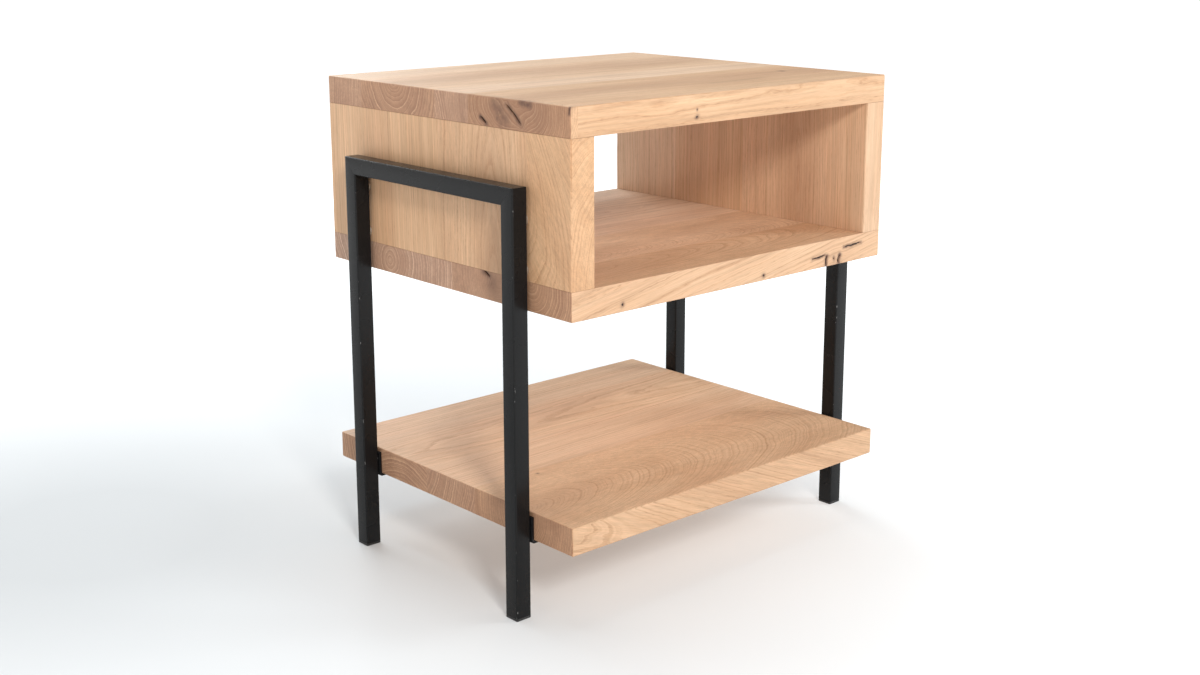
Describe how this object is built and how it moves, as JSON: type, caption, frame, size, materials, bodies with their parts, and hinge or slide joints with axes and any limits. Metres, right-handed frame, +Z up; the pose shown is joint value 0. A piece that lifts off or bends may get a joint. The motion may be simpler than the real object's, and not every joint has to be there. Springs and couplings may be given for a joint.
{
  "type": "open side table with lower shelf",
  "caption": "Side table: an open oak box carried between two black square-tube frames, with an oak shelf low down between the legs.",
  "frame": {"origin": "on the floor under the middle of the table: bottom centre of the bounding box", "axes": "+Z up, +X to the right across the table's width, +Y to the back; the front is the open side seen from -Y"},
  "size_m": [0.5472, 0.438, 0.565],
  "materials": {
    "oiled_oak": "natural oak in glued staves, brushed and lightly oiled, matt, with small knots and checks",
    "beech": "plain turned beech, unfinished",
    "black_powder_coat": "black powder coat, satin, very fine texture",
    "zinc_plated_steel": "bright zinc plate",
    "black_plastic": "moulded black polyethylene, matt"
  },
  "bodies": {
    "root": {"top_board": "oiled_oak", "bottom_board": "oiled_oak", "left_side_panel": "oiled_oak", "right_side_panel": "oiled_oak", "lower_shelf": "oiled_oak", "left_lower_dowel_1": "beech", "left_lower_dowel_2": "beech", "left_lower_dowel_3": "beech", "left_upper_dowel_1": "beech", "left_upper_dowel_2": "beech", "left_upper_dowel_3": "beech", "right_lower_dowel_1": "beech", "right_lower_dowel_2": "beech", "right_lower_dowel_3": "beech", "right_upper_dowel_1": "beech", "right_upper_dowel_2": "beech", "right_upper_dowel_3": "beech", "left_top_bar": "black_powder_coat", "left_front_leg": "black_powder_coat", "left_rear_leg": "black_powder_coat", "right_top_bar": "black_powder_coat", "right_front_leg": "black_powder_coat", "right_rear_leg": "black_powder_coat", "left_front_hook_screw_1": "zinc_plated_steel", "left_front_spacer_washer_1": "zinc_plated_steel", "left_front_hook_screw_2": "zinc_plated_steel", "left_front_spacer_washer_2": "zinc_plated_steel", "left_rear_hook_screw_1": "zinc_plated_steel", "left_rear_spacer_washer_1": "zinc_plated_steel", "left_rear_hook_screw_2": "zinc_plated_steel", "left_rear_spacer_washer_2": "zinc_plated_steel", "right_front_hook_screw_1": "zinc_plated_steel", "right_front_spacer_washer_1": "zinc_plated_steel", "right_front_hook_screw_2": "zinc_plated_steel", "right_front_spacer_washer_2": "zinc_plated_steel", "right_rear_hook_screw_1": "zinc_plated_steel", "right_rear_spacer_washer_1": "zinc_plated_steel", "right_rear_hook_screw_2": "zinc_plated_steel", "right_rear_spacer_washer_2": "zinc_plated_steel", "left_front_shelf_bracket": "black_powder_coat", "left_front_shelf_screw_1": "zinc_plated_steel", "left_front_shelf_screw_2": "zinc_plated_steel", "left_rear_shelf_bracket": "black_powder_coat", "left_rear_shelf_screw_1": "zinc_plated_steel", "left_rear_shelf_screw_2": "zinc_plated_steel", "right_front_shelf_bracket": "black_powder_coat", "right_front_shelf_screw_1": "zinc_plated_steel", "right_front_shelf_screw_2": "zinc_plated_steel", "right_rear_shelf_bracket": "black_powder_coat", "right_rear_shelf_screw_1": "zinc_plated_steel", "right_rear_shelf_screw_2": "zinc_plated_steel", "left_front_foot_glide": "black_plastic", "left_rear_foot_glide": "black_plastic", "right_front_foot_glide": "black_plastic", "right_rear_foot_glide": "black_plastic"}
  },
  "joints": []
}
